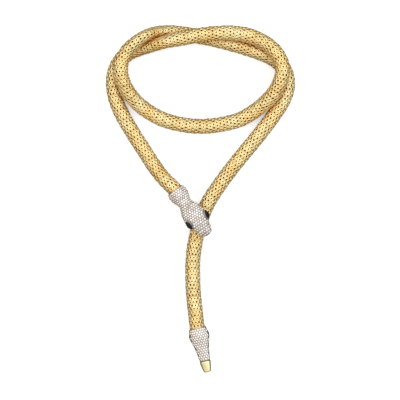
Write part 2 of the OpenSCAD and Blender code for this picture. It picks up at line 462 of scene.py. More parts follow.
def dress(piece: Object, material: Material, slot: Slot, *nodes: str) -> None:
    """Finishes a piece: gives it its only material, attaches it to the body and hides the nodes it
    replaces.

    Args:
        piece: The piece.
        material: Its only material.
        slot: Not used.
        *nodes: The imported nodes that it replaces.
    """
    coat(piece, material)
    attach(piece, BODY)
    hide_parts(*nodes)
    LOG.info("%s: %d faces", piece.name, len(piece.data.polygons))


@dataclass(frozen=True)
class MetalFinish:
    """A plated metal, clouded from deep to pale, with painted shade: its colour turns deeper where
    other parts come near.
    """

    name: str
    pale: Colour
    deep: Colour
    # The colour painted in as shade where other parts come near, and how near they count
    painted_shade: Colour
    painted_shade_reach: float
    edge: Colour = (1.0, 1.0, 1.0)
    gloss: float = 0.12
    dull: float = 0.24
    mottle: float = 220.0
    grain: float = 1800.0
    grain_depth: float = 0.00001
    # The stretch of the clouds, and of the open share of the sky, that its tones and its painted shade
    # change over
    cloud_range: tuple[float, float] = (0.36, 0.64)
    open_range: tuple[float, float] = (0.1, 0.94)

    def material(self) -> Material:
        """Builds the material.

        Returns:
            The material.
        """
        n = ShaderTree(bpy.data.materials.new(self.name))
        cloud = n.noise(self.mottle, detail=3.0)
        tone = n.blend(n.ramp(cloud, *self.cloud_range), self.deep, self.pale)
        # Painted shade: ambient occlusion mixes the shade colour in where other parts are near, so
        # creases, gaps and what lies under the head turn deeper
        around = n.add("ShaderNodeAmbientOcclusion", {"Distance": self.painted_shade_reach}, samples=8)
        open_share = n.ramp(around.outputs["AO"], *self.open_range)
        bump = {"Height": n.noise(self.grain), "Distance": self.grain_depth, "Strength": 1.0}
        return n.surface(
            {
                "Base Color": n.blend(open_share, self.painted_shade, tone),
                "Roughness": n.ramp(cloud, 0.0, 1.0, self.gloss, self.dull),
                "Normal": n.result("ShaderNodeBump", bump),
                "Metallic": 1.0,
                "Specular Tint": (*self.edge, 1),
            }
        )


@dataclass(frozen=True)
class CrystalFinish:
    """Foiled crystal: each stone has its own tone, from clear white to warm grey."""

    name: str
    bright: Colour
    shade: Colour
    roughness: float = 0.2
    foil: float = 0.8
    coat: float = 0.3
    coat_roughness: float = 0.02

    def material(self) -> Material:
        """Builds the material, which reads each stone's tone attribute.

        Returns:
            The material.
        """
        n = ShaderTree(bpy.data.materials.new(self.name))
        tone = n.add("ShaderNodeAttribute", attribute_name="tone", attribute_type="GEOMETRY")
        return n.surface(
            {
                "Base Color": n.blend(tone.outputs["Fac"], self.shade, self.bright),
                "Roughness": self.roughness,
                "Metallic": self.foil,
                "Coat Weight": self.coat,
                "Coat Roughness": self.coat_roughness,
            }
        )


@dataclass(frozen=True)
class BlackStoneFinish:
    """Polished black stone with a faint cloud of grey in it."""

    name: str
    black: Colour = (0.002, 0.002, 0.003)
    cloud: Colour = (0.012, 0.012, 0.016)
    mottle: float = 600.0
    roughness: float = 0.06
    shine: float = 0.2

    def material(self) -> Material:
        """Builds the material.

        Returns:
            The material.
        """
        n = ShaderTree(bpy.data.materials.new(self.name))
        return n.surface(
            {
                "Base Color": n.blend(n.noise(self.mottle), self.black, self.cloud),
                "Roughness": self.roughness,
                "Specular IOR Level": self.shine,
            }
        )


WARM_EDGE = (1.0, 0.8, 0.58)
# The mesh gold's orange shade colour is painted shade and painted reflection, where strands, head and
# floor come near, as between touching strands and under the head
MESH_GOLD = MetalFinish(
    "mesh_gold", pale=(1.0, 0.905, 0.52), deep=(0.97, 0.745, 0.335), painted_shade=(0.88, 0.56, 0.22),
    painted_shade_reach=0.006, edge=WARM_EDGE, gloss=0.2, dull=0.36, mottle=60.0, grain=2600.0,
    grain_depth=0.00002,
)
# The inner layer is painted dark brown all over as the shade inside the tube that shows through the
# holes; its shade colour is painted shade as well
INNER_SHADE_GOLD = MetalFinish(
    "inner_gold_painted_shade", pale=(0.6, 0.35, 0.08), deep=(0.12, 0.07, 0.018), painted_shade=(0.2, 0.11, 0.03),
    painted_shade_reach=0.002, gloss=0.4, dull=0.6, mottle=160.0, grain=1500.0, grain_depth=0.00005,
)
# The loop's and the tip's shade colours are painted shade, where other parts come near
LOOP_GOLD = MetalFinish(
    "loop_gold", pale=(0.95, 0.76, 0.42), deep=(0.88, 0.64, 0.3), painted_shade=(0.8, 0.42, 0.11),
    painted_shade_reach=0.003, edge=WARM_EDGE,
)
TIP_GOLD = MetalFinish(
    "tip_gold", pale=(0.98, 0.97, 0.62), deep=(0.9, 0.86, 0.48), painted_shade=(0.3, 0.26, 0.08),
    painted_shade_reach=0.002,
)
# Its near-black shade colour is painted shade in the gaps between stones and grains, and also stands
# for the patina the casting has in its hollows
WHITE_METAL = MetalFinish(
    "white_metal", pale=(0.55, 0.52, 0.49), deep=(0.41, 0.39, 0.37), painted_shade=(0.15, 0.135, 0.12),
    painted_shade_reach=0.0012, gloss=0.16, dull=0.34, mottle=320.0, grain=1500.0, grain_depth=0.00002,
)
CRYSTAL = CrystalFinish("crystal", bright=(0.94, 0.9, 0.865), shade=(0.66, 0.61, 0.57))
BLACK_STONE = BlackStoneFinish("black_stone")


@dataclass(frozen=True)
class Station:
    """A place along the chain: its middle, the ways across and up, and its half width in plan."""

    middle: Vector
    side: Vector
    up: Vector
    half: float


class ChainRoute:
    """The smooth middle line of the chain, as the part's source sweeps it."""

    def __init__(self, rows: Sequence[Sequence[float]], diameter: float, step: float = 0.001) -> None:
        """Works out the stations along the whole chain.

        Args:
            rows: The route's points, with the half width as a fourth value where it isn't round.
            diameter: The chain's diameter.
            step: The longest distance between stations.
        """
        self.diameter = diameter
        self.points = [Vector((*row, diameter / 2)[:4]) for row in rows]
        places: list[Vector] = []
        self.first_station: list[int] = []
        for i in range(len(self.points) - 1):
            self.first_station.append(len(places))
            steps = math.ceil(self.span(i) / step)
            places += [self.along(i, k / steps) for k in range(steps)]
        places.append(self.points[-1])
        self.stations = [self.station(places, k) for k in range(len(places))]
        gaps = [(b.middle - a.middle).length for a, b in zip(self.stations, self.stations[1:])]
        self.travel = [sum(gaps[:k]) for k in self.first_station]
        self.length = sum(gaps)

    def span(self, i: int) -> float:
        """Returns the straight distance from point i to the next."""
        return (self.points[i + 1] - self.points[i]).to_3d().length

    def slope(self, i: int) -> Vector:
        """Works out the route's slope at a point, weighted by the spans beside it.

        Args:
            i: The point's number.

        Returns:
            The slope, for x, y, z and the half width.
        """
        p, last = self.points, len(self.points) - 1
        if i in (0, last):
            end = min(i, last - 1)
            return (p[end + 1] - p[end]) / self.span(end)
        before, after = self.span(i - 1), self.span(i)
        turn = after * (p[i] - p[i - 1]) / before + before * (p[i + 1] - p[i]) / after
        return turn / (before + after)

    def along(self, i: int, t: float) -> Vector:
        """Finds a point of the route, kept up on the surface.

        Args:
            i: The span's number.
            t: The share of the span.

        Returns:
            The point and its half width.
        """
        ends = (self.points[i], self.slope(i), self.points[i + 1], self.slope(i + 1))
        q = cubic(t, self.span(i), *ends)
        q.z = max(q.z, self.diameter - q.w)
        return q

    @staticmethod
    def station(places: Sequence[Vector], k: int) -> Station:
        """Makes a station, square to the way between its neighbours.

        Args:
            places: The points along the chain.
            k: The station's number.

        Returns:
            The station.
        """
        before = places[max(k - 1, 0)].to_3d()
        after = places[min(k + 1, len(places) - 1)].to_3d()
        side = (after - before).cross(Vector((0, 0, 1))).normalized()
        return Station(places[k].to_3d(), side, side.cross(after - before).normalized(), places[k].w)

    def path_object(self) -> Object:
        """Draws the whole route as a path, with side and half attributes.

        Returns:
            The path, as an object of edges.
        """
        middles = [s.middle for s in self.stations]
        edges = [(k, k + 1) for k in range(len(middles) - 1)]
        values = {"side": [s.side for s in self.stations], "half": [s.half for s in self.stations]}
        return points_with("route", middles, edges, values)


@dataclass
class WovenChain:
    """The mesh chain: rows of domed links with a round hole in each, over an inner layer painted dark
    brown as the shade inside the tube.
    """

    route: ChainRoute
    columns: int = 26
    row_pitch: float = 0.0055
    hole_radius: float = 0.00054
    open_hole_radius: float = 0.00076
    dome: float = 0.0003
    depth: float = 0.00036
    lean: float = 0.1
    tilt: float = 0.11
    unevenness: float = 0.00042
    uneven_scale: float = 260.0
    seed: int = 7
    inner_radius: float = 0.0046
    inner_sides: int = 20
    inner_stride: int = 3
    # A link's section from its hole to its outline: the share of the way, and of the dome
    link_section: tuple[tuple[float, float], ...] = (
        (0, -0.6), (0.08, 0.4), (0.42, 1), (0.78, 0.7), (0.99, 0), (0.99, -0.6),
    )

    def link(self, name: str, pitch: float, hole: float) -> Object:
        """Makes one link, a six-cornered plate that faces +X and has Z along the chain.

        Args:
            name: The link's name.
            pitch: The distance between the links of one column.
            hole: The radius of its hole.

        Returns:
            The link, not linked to the scene.
        """
        wide = (self.route.diameter / 2 - self.depth) * math.tan(FULL_TURN / self.columns)
        point, shoulder = pitch / 4 + wide * wide / pitch, pitch / 4 - wide * wide / pitch
        corners = [(point, 0), (shoulder, wide), (-shoulder, wide)]
        corners += [(-z, -y) for z, y in corners]
        edge = []
        for (z0, y0), (z1, y1) in zip(corners, corners[1:] + corners[:1]):
            edge += [Vector((0, y0, z0)), Vector((0, (y0 + y1) / 2, (z0 + z1) / 2))]
        points = []
        for share, height in self.link_section:
            for corner in edge:
                at = corner.normalized() * hole * (1 - share) + corner * share
                points.append((self.dome * height, at.y, at.z))
        return flat_solid(name, points, collar_faces(len(self.link_section), len(edge)))

    def stacked(self, tree: GeometryTree) -> NodeSocket:
        """Adds the nodes that set links round and up the Z axis, with every other column raised.

        Args:
            tree: The tree that they go into.

        Returns:
            The stack, realized.
        """
        calc, given = tree.math, tree.given
        links = tree.add("GeometryNodeJoinGeometry")
        kinds = ("Link", "Open link")
        for kind in kinds:
            tree.feed(links.inputs["Geometry"], tree.solid(kind))
        columns, tilt = given("Columns"), given("Tilt")
        count = calc("MULTIPLY", columns, given("Rows"))
        line = tree.result("GeometryNodeMeshLine", {"Count": count})
        number = tree.result("GeometryNodeInputIndex")
        column = calc("MODULO", number, columns)
        row = calc("ADD", calc("FLOOR", calc("DIVIDE", number, columns)), given("First row"))
        odd = calc("MODULO", column, 2.0)
        height = calc("ADD", calc("MULTIPLY_ADD", odd, 0.5, row), 0.25)
        angle = calc("DIVIDE", calc("MULTIPLY", column, FULL_TURN), columns)
        radius = calc("SUBTRACT", given("Radius"), given("Depth"))
        place = tree.xyz(
            X=calc("MULTIPLY", calc("COSINE", angle), radius),
            Y=calc("MULTIPLY", calc("SINE", angle), radius),
            Z=calc("MULTIPLY", height, given("Row pitch")),
        )
        lean = calc("MULTIPLY", calc("MULTIPLY_ADD", odd, 2.0, -1.0), given("Lean"))
        turn = tree.xyz(
            Y=calc("MULTIPLY_ADD", tree.random(-1.0, 1.0, 2), tilt, lean),
            Z=calc("MULTIPLY_ADD", tree.random(-1.0, 1.0, 3), tilt, angle),
        )
        spots = tree.result("GeometryNodeSetPosition", {"Geometry": line, "Position": place})
        stack = tree.result(
            "GeometryNodeInstanceOnPoints",
            {
                "Points": spots,
                "Instance": links.outputs["Geometry"],
                "Pick Instance": True,
                "Instance Index": tree.random(0.0, len(kinds) - 0.001, 5),
                "Rotation": turn,
            },
        )
        return tree.realized(stack)

    def laid(self, tree: GeometryTree, stack: NodeSocket) -> NodeSocket:
        """Adds the nodes that bend the stack along the route.

        Args:
            tree: The tree that they go into.
            stack: The straight stack, whose Z is the distance along the chain.

        Returns:
            The bent stack.
        """
        path = tree.result("GeometryNodeMeshToCurve", {"Mesh": tree.given("Geometry")})
        raw = tree.result("GeometryNodeInputPosition")
        cloud = tree.add(
            "ShaderNodeTexNoise",
            {"Vector": raw, "W": tree.given("Seed"), "Scale": self.uneven_scale, "Detail": 1.0},
            noise_dimensions="4D",
        )
        drift = tree.vector("SUBTRACT", cloud.outputs["Color"], (0.5, 0.5, 0.5))
        drifted = tree.vector("ADD", raw, tree.scaled(drift, tree.given("Unevenness")))
        place = tree.add("ShaderNodeSeparateXYZ", {0: drifted}).outputs
        taken: dict[str, NodeSocket] = {}
        for name, kind in (("side", "FLOAT_VECTOR"), ("half", "FLOAT")):
            sample = tree.add(
                "GeometryNodeSampleCurve",
                {"Curves": path, "Value": tree.attribute(name, kind), "Length": place["Z"]},
                mode="LENGTH",
                data_type=kind,
            )
            taken[name] = sample.outputs["Value"]
        across = tree.vector("NORMALIZE", taken["side"])
        way = sample.outputs["Tangent"]
        up = tree.vector("NORMALIZE", tree.vector("CROSS_PRODUCT", across, way))
        radius, half = tree.given("Radius"), taken["half"]
        tall = tree.math("SUBTRACT", tree.math("MULTIPLY", radius, 2.0), half)
        x = tree.math("DIVIDE", tree.math("MULTIPLY", place["X"], half), radius)
        y = tree.math("DIVIDE", tree.math("MULTIPLY", place["Y"], tall), radius)
        off = tree.vector("ADD", tree.scaled(across, x), tree.scaled(up, y))
        there = tree.vector("ADD", sample.outputs["Position"], off)
        moved = tree.result("GeometryNodeSetPosition", {"Geometry": stack, "Position": there})
        return tree.result("GeometryNodeSetShadeSmooth", {"Geometry": moved})

    def lining(self, name: str, first: int, last: int) -> Object:
        """Makes a stretch of the weave's inner layer.

        Args:
            name: The piece's name.
            first: The station that it starts at.
            last: The station that it ends at.

        Returns:
            The piece, closed at both ends.
        """
        share = self.inner_radius / (self.route.diameter / 2)
        turns = [FULL_TURN * j / self.inner_sides for j in range(self.inner_sides)]
        rings = []
        for k in [*range(first, last, self.inner_stride), last]:
            s = self.route.stations[k]
            side, up = s.side * (s.half * share), s.up * ((self.route.diameter - s.half) * share)
            rings.append([s.middle + side * math.cos(a) + up * math.sin(a) for a in turns])
        # They run clockwise seen from the last one, so they are stacked from there
        return closed_shell(name, rings[::-1])

    def build(self) -> None:
        """Makes and dresses the chain's pieces."""
        # The inner layer's material is painted shade: dark brown for the shade inside the tube
        gold, inner = MESH_GOLD.material(), INNER_SHADE_GOLD.material()
        count = int(self.route.length / self.row_pitch)
        pitch = self.route.length / count
        tree = GeometryTree(
            "mesh_links",
            {
                "Link": self.link("mesh_link", pitch, self.hole_radius),
                "Open link": self.link("mesh_open_link", pitch, self.open_hole_radius),
                "Radius": self.route.diameter / 2,
                "Columns": self.columns,
                "Depth": self.depth,
                "Lean": self.lean,
                "Tilt": self.tilt,
                "Row pitch": pitch,
                "First row": 0,
                "Rows": count,
                "Unevenness": self.unevenness,
                "Seed": self.seed,
                "Material": gold,
            },
        )
        tree.end(self.laid(tree, self.stacked(tree)))
        middle = round(self.route.travel[MEETING] / pitch)
        for name, first, end, node in (
            ("mesh_left_arm", 0, middle // 2, "chain_head_half"),
            ("mesh_top_strand", middle // 2, middle, "chain_head_half"),
            ("mesh_inner_wrap", middle, (middle + count) // 2, "chain_tail_half"),
            ("mesh_tail_run", (middle + count) // 2, count, "chain_tail_half"),
        ):
            piece = tree.run(self.route.path_object(), name, First_row=first, Rows=end - first)
            dress(piece, gold, Slot.GOLD_MESH, node)
        split, stations = self.route.first_station[MEETING], len(self.route.stations) - 1
        for half, first, end in (("head_half", 0, split), ("tail_half", split, stations)):
            piece = self.lining(f"inner_layer_{half}", first, end)
            dress(piece, inner, Slot.GOLD_MESH, f"chain_{half}")


class Row(NamedTuple):
    """One section of a casting: its station, half width, underside and top."""

    station: float
    half: float
    low: float
    high: float


def rows_of(
    table: Sequence[tuple[float, float, float, float]], length: float, width: float, start: float = 0.0
) -> list[Row]:
    """Turns a table of shares and heights in millimetres into rows in metres.

    Args:
        table: Shares of the length and of the half width, then underside and top heights.
        length: The casting's length.
        width: Its greatest width.
        start: The first station.

    Returns:
        The rows.
    """
    return [Row(start + s * length, h * width / 2, lo * MM, hi * MM) for s, h, lo, hi in table]


class Spot(NamedTuple):
    """A place on a casting's skin: its station, and its angle round the section."""

    station: float
    angle: float


# The angle of a section's highest line
CROWN = math.pi / 2


@dataclass
class Casting:
    """A cast shell with a round back and a flatter belly, lofted smoothly through its rows."""

    rows: list[Row]
    origin: Vector
    yaw: float
    back_power: float = 2.1
    belly_power: float = 3.0
    sides: int = 72
    step: float = 0.0004
    turn_step: float = 0.05
    slopes: list[tuple[float, ...]] = field(init=False)

    def __post_init__(self) -> None:
        """Works out the rows' slopes, which never overshoot a row."""
        stations, *columns = zip(*self.rows)
        self.slopes = list(zip(*(self.steady_slopes(stations, column) for column in columns)))

    @staticmethod
    def steady_slopes(x: Sequence[float], y: Sequence[float]) -> list[float]:
        """Works out slopes for a cubic through points that keeps their rises and falls.

        Args:
            x: The points' stations.
            y: Their values.

        Returns:
            The slope at each point.
        """
        chord = [(y[i + 1] - y[i]) / (x[i + 1] - x[i]) for i in range(len(x) - 1)]
        inner = [2 * a * b / (a + b) if a * b > 0 else 0.0 for a, b in zip(chord, chord[1:])]
        return [chord[0], *inner, chord[-1]]

    def section(self, s: float) -> tuple[float, ...]:
        """Measures one section of the casting.

        Args:
            s: The station, taken at the nearer end where it lies outside.

        Returns:
            The half width, underside and top there.
        """
        rows = self.rows
        s = min(max(s, rows[0].station), rows[-1].station)
        i = max(k for k in range(len(rows) - 1) if k == 0 or rows[k].station <= s)
        reach = rows[i + 1].station - rows[i].station
        t = (s - rows[i].station) / reach
        ends = zip(rows[i][1:], self.slopes[i], rows[i + 1][1:], self.slopes[i + 1])
        return tuple(cubic(t, reach, *end) for end in ends)

    def skin(self, s: float, a: float, inset: float = 0.0) -> Vector:
        """Finds a point of the skin.

        Args:
            s: The station.
            a: The angle round the section, from its left side, looking ahead, over the crown.
            inset: How far inside the skin.

        Returns:
            The point, in the casting's own frame.
        """
        half, low, high = self.section(s)
        middle, reach = (low + high) / 2, (high - low) / 2 - inset
        power = 2 / (self.back_power if math.sin(a) > 0 else self.belly_power)
        across = math.copysign(abs(math.cos(a)) ** power, math.cos(a))
        up = math.copysign(abs(math.sin(a)) ** power, math.sin(a))
        return Vector((s, (half - inset) * across, middle + reach * up))

    def out(self, s: float, a: float) -> Vector:
        """Finds the way out of the skin.

        Args:
            s: The station.
            a: The angle round the section.

        Returns:
            The direction, in the casting's own frame.
        """
        round_it = self.skin(s, a + self.turn_step) - self.skin(s, a - self.turn_step)
        along = self.skin(s + self.step, a) - self.skin(s - self.step, a)
        return round_it.cross(along).normalized()

    def turned(self, v: Vector) -> Vector:
        """Turns a direction from the casting's own frame to the part's."""
        c, s = math.cos(self.yaw), math.sin(self.yaw)
        return Vector((c * v.x - s * v.y, s * v.x + c * v.y, v.z))

    def placed(self, p: Vector) -> Vector:
        """Moves a point from the casting's own frame to the part's."""
        return self.turned(p) + self.origin

    def turns(self) -> list[float]:
        """Returns the angles of a section's corners."""
        return [FULL_TURN * j / self.sides for j in range(self.sides)]

    def outline(self, s: float, inset: float = 0.0) -> list[Vector]:
        """Returns the section's corners at station s, placed."""
        return [self.placed(self.skin(s, a, inset)) for a in self.turns()]

    def disc(self, s: float, radius: float, height: float) -> list[Vector]:
        """Draws a round section, such as a bore's.

        Args:
            s: Its station.
            radius: Its radius.
            height: Its middle's height.

        Returns:
            Its corners, in the part's frame.
        """
        return [
            self.placed(Vector((s, radius * math.cos(a), height + radius * math.sin(a))))
            for a in self.turns()
        ]

    def body(self, start: float, end: float, round_by: float) -> list[list[Vector]]:
        """Lofts the outside, with a rounded edge at each end.

        Args:
            start: The first station.
            end: The last station.
            round_by: The edges' radius.

        Returns:
            The outer rings.
        """
        shares = [0.0, 0.3, 0.7, 1.0]
        insets = [round_by * (1 - e) ** 2 for e in shares]
        rings = [self.outline(start + e * round_by, inset) for e, inset in zip(shares, insets)]
        steps = math.ceil((end - start - 2 * round_by) / self.step)
        reach = (end - start - 2 * round_by) / steps
        rings += [self.outline(start + round_by + k * reach) for k in range(1, steps)]
        far = [self.outline(end - e * round_by, inset) for e, inset in zip(shares, insets)]
        return rings + far[::-1]


@dataclass
class PaveField:
    """Crystals in staggered rows over a casting, with a metal grain in each gap between three."""

    casting: Casting
    start: float
    end: float
    pitch: float
    spread: float
    stone_size: float
    seed: int
    kept_clear: tuple[EyeStone, ...] = ()
    margin: float = 0.0003
    filler_size: float = 0.00125
    filler_margin: float = 0.00034
    # The small stones are tried on a grid round each eye: its steps each way, and their sizes
    filler_steps: tuple[int, int] = (17, 15)
    filler_step: float = 0.00035
    filler_turn: float = 0.04
    grain_share: float = 0.6
    arc_step: float = math.radians(2)
    # From this station on, the rows stand in pairs with a wider gap between the pairs
    banded_from: float = math.inf
    band_gap: float = 0.00045

    def arcs(self, s: float) -> list[tuple[float, float]]:
        """Measures the skin down one side of a section, from its crown.

        Args:
            s: The section's station.

        Returns:
            Skin lengths and the angles that they reach.
        """
        table, length, a = [(0.0, 0.0)], 0.0, 0.0
        while a < self.spread:
            here = self.casting.skin(s, CROWN - a)
            a += self.arc_step
            length += (self.casting.skin(s, CROWN - a) - here).length
            table.append((length, a))
        return table

    @staticmethod
    def angle_at(table: Sequence[tuple[float, float]], u: float) -> float:
        """Looks up an angle from the crown.

        Args:
            table: Skin lengths and angles.
            u: The skin length, negative on the other side.

        Returns:
            The angle, with the length's sign.
        """
        for (l0, a0), (l1, a1) in zip(table, table[1:]):
            if abs(u) <= l1:
                return math.copysign(a0 + (a1 - a0) * (abs(u) - l0) / (l1 - l0), u)
        return math.copysign(table[-1][1], u)

    def row_spots(self, s: float, shift: float) -> list[Spot]:
        """Spaces one row by the pitch, from the crown or from half a pitch off.

        Args:
            s: The row's station.
            shift: How far the first spot stands from the crown.

        Returns:
            The row's places.
        """
        table = self.arcs(s)
        count = int((table[-1][0] - shift) / self.pitch)
        offsets = [shift + k * self.pitch for k in range(count + 1)]
        both = sorted({*offsets, *(-u for u in offsets)})
        return [Spot(s, CROWN + self.angle_at(table, u)) for u in both]

    def tries(self) -> Iterable[Spot]:
        """Goes over a grid of places round each eye.

        Yields:
            Each place that a small stone is tried at.
        """
        along, around = self.filler_steps
        for eye in self.kept_clear:
            for k in range(-along, along + 1):
                for j in range(-around, around + 1):
                    station = eye.seat.station + k * self.filler_step
                    yield Spot(station, eye.seat.angle + j * self.filler_turn)

    def fillers(self, stones: Sequence[Spot]) -> list[Spot]:
        """Finds places for small stones in the bare skin that the rows leave beside the eyes.

        Args:
            stones: The places of the full-size stones.

        Returns:
            The places of the small ones.
        """
        found: list[Spot] = []
        taken = [(self.casting.skin(*q), self.stone_size) for q in stones]
        for spot in self.tries():
            p = self.casting.skin(*spot)
            low = abs(spot.angle - CROWN) > self.spread or spot.station > self.end
            if low or not self.is_free(spot, self.filler_size / 2 + self.filler_margin):
                continue
            if all((p - other).length > (self.filler_size + size) / 2 for other, size in taken):
                found.append(spot)
                taken.append((p, self.filler_size))
        return found

    def spots(self) -> tuple[list[Spot], list[Spot], list[Spot]]:
        """Sets out the field.

        Returns:
            The places of the stones, of the small stones and of the grains.
        """
        row_pitch = self.pitch * math.sin(math.pi / 3)
        stones: list[Spot] = []
        grains: list[Spot] = []
        s, r = self.start, 0
        while s <= self.end:
            shift = (r % 2) * self.pitch / 2
            stones += self.row_spots(s, shift)
            if r % 2 and s > self.banded_from:
                s += self.band_gap
            else:
                grains += self.row_spots(s + row_pitch / 3, self.pitch / 2 - shift)
                grains += self.row_spots(s + 2 * row_pitch / 3, shift)
            s, r = s + row_pitch, r + 1
        stones = [q for q in stones if self.is_free(q, self.stone_size / 2 + self.margin)]
        fillers = self.fillers(stones)
        beside = [self.casting.skin(*q) for q in fillers]
        clear = self.filler_size * self.grain_share
        grains = [
            q
            for q in grains
            if self.is_free(q, 2 * self.margin)
            and all((self.casting.skin(*q) - f).length > clear for f in beside)
        ]
        return stones, fillers, grains

    def is_free(self, spot: Spot, reach: float) -> bool:
        """Returns whether a spot is clear of the eyes."""
        p = self.casting.skin(*spot)
        return not any(eye.covers(p, reach) for eye in self.kept_clear)

    def points_object(self, spots: Sequence[Spot], lift: float) -> Object:
        """Makes a point for each spot, with the outward way as an attribute.

        Args:
            spots: The places.
            lift: How far off the skin the points stand.

        Returns:
            The points, as one object.
        """
        cast = self.casting
        ways = [cast.out(*q) for q in spots]
        places = [cast.placed(cast.skin(*q) + way * lift) for q, way in zip(spots, ways)]
        return points_with("spots", places, [], {"out": [cast.turned(way) for way in ways]})


def circle_points(corners: int, radius: float, height: float, turn: float = 0.0) -> list[tuple]:
    """Returns the corners of a level ring, turned by a share of a step."""
    angles = [FULL_TURN * (j + turn) / corners for j in range(corners)]
    return [(radius * math.cos(a), radius * math.sin(a), height) for a in angles]


def brilliant() -> Object:
    """Cuts a round brilliant's crown, 1 m across: table, stars, kites and girdle facets.

    Returns:
        The stone, not linked to the scene.
    """
    n = 8
    # Each level's corners, radius, height and turn, from the foot up to the table
    levels = (2 * n, 0.5, -0.12), (2 * n, 0.5, 0.06), (n, 0.41, 0.19, 0.5), (n, 0.28, 0.28)
    points = [p for level in levels for p in circle_points(*level)]
    girdle, middle, table = 2 * n, 4 * n, 5 * n
    faces: list[Face] = [tuple(reversed(range(2 * n))), *tube_faces(2, 2 * n)]
    for k in range(n):
        a, b, c = girdle + 2 * k, girdle + 2 * k + 1, girdle + (2 * k + 2) % (2 * n)
        here, before, after = middle + k, middle + (k - 1) % n, table + (k + 1) % n
        faces += [(a, b, here), (b, c, here), (a, here, table + k, before)]
        faces.append((table + k, here, after))
    faces.append(tuple(range(table, table + n)))
    return flat_solid("brilliant", points, faces)


def bead() -> Object:
    """Makes a low round grain of metal, 1 m across.

    Returns:
        The grain, not linked to the scene.
    """
    sides = 8
    # Each level's radius and height, from the foot up
    levels = (0.5, -0.4), (0.5, 0.2), (0.36, 0.5), (0.14, 0.62)
    points = [p for level in levels for p in circle_points(sides, *level)]
    return flat_solid("grain", points, tube_faces(len(levels), sides, closed=True))


def setting_tree(solid: Object, material: Material) -> GeometryTree:
    """Builds the tree that sets a small solid on every point of a mesh, facing its out attribute.

    Args:
        solid: The solid, standing on the origin with its top up +Z and 1 m across.
        material: What it is made of.

    Returns:
        The tree.
    """
    inputs = {"Solid": solid, "Size": 0.002, "Size spread": 0.03, "Tilt": 0.08, "Dimmest": 0.0}
    tree = GeometryTree(f"set_{solid.name}", {**inputs, "Seed": 3, "Material": material})
    out, tilt = tree.attribute("out", "FLOAT_VECTOR"), tree.given("Tilt")
    lean = tree.xyz(
        X=tree.math("MULTIPLY", tree.random(-1.0, 1.0, 1), tilt),
        Y=tree.math("MULTIPLY", tree.random(-1.0, 1.0, 2), tilt),
        Z=tree.random(0.0, FULL_TURN, 3),
    )
    turns = {
        0: tree.result("FunctionNodeAlignRotationToVector", {"Vector": out}, axis="Z"),
        1: tree.result("FunctionNodeEulerToRotation", {0: lean}),
    }
    swing = tree.math("MULTIPLY_ADD", tree.random(-1.0, 1.0, 4), tree.given("Size spread"), 1.0)
    placed = tree.result(
        "GeometryNodeInstanceOnPoints",
        {
            "Points": tree.given("Geometry"),
            "Instance": tree.solid("Solid"),
            "Rotation": tree.result("FunctionNodeRotateRotation", turns, rotation_space="LOCAL"),
            "Scale": tree.math("MULTIPLY", swing, tree.given("Size")),
        },
    )
    tone = tree.random(tree.given("Dimmest"), 1.0, 5)
    toned = tree.result(
        "GeometryNodeStoreNamedAttribute",
        {"Geometry": placed, "Name": "tone", "Value": tone},
        data_type="FLOAT",
        domain="INSTANCE",
    )
    tree.end(toned)
    return tree


@dataclass
class Pave:
    """Sets crystals and metal grains on the castings."""

    crystal: Material
    metal: Material
    stone_lift: float = 0.00016
    grain_size: float = 0.0005
    stones: GeometryTree = field(init=False)
    grains: GeometryTree = field(init=False)

    def __post_init__(self) -> None:
        """Builds the trees that set a stone and a grain."""
        self.stones = setting_tree(brilliant(), self.crystal)
        self.grains = setting_tree(bead(), self.metal)

    def build(self, name: str, ground: PaveField, node: str, shell: str, dimmest: float = 0.0) -> None:
        """Sets one field.

        Args:
            name: The field's name.
            ground: Where its stones and grains go.
            node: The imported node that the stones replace.
            shell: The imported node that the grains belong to.
            dimmest: The tone of its dimmest stone, from 0, grey, to 1, clear.
        """
        stones, fillers, grains = ground.spots()
        lift, seed = self.stone_lift, ground.seed
        full = {"Size": ground.stone_size, "Dimmest": dimmest, "Seed": seed}
        small = {"Size": ground.filler_size, "Seed": seed + 1}
        bead_size = {"Size": self.grain_size, "Seed": seed}
        clear, bright = (self.crystal, Slot.CRYSTAL, node), (self.metal, Slot.WHITE_METAL, shell)
        for label, tree, spots, height, inputs, looks in (
            ("crystals", self.stones, stones, lift, full, clear),
            ("small_crystals", self.stones, fillers, lift, small, clear),
            ("grains", self.grains, grains, 0.0, bead_size, bright),
        ):
            if spots:
                points = ground.points_object(spots, height)
                dress(tree.run(points, f"{name}_{label}", **inputs), *looks)


# The head lies rolled a little towards the right eye, so the left one sits nearer the crown
EYE_SEATS = {
    Side.LEFT: Spot(0.0294, math.radians(180 - 39)),
    Side.RIGHT: Spot(0.0307, math.radians(29)),
}


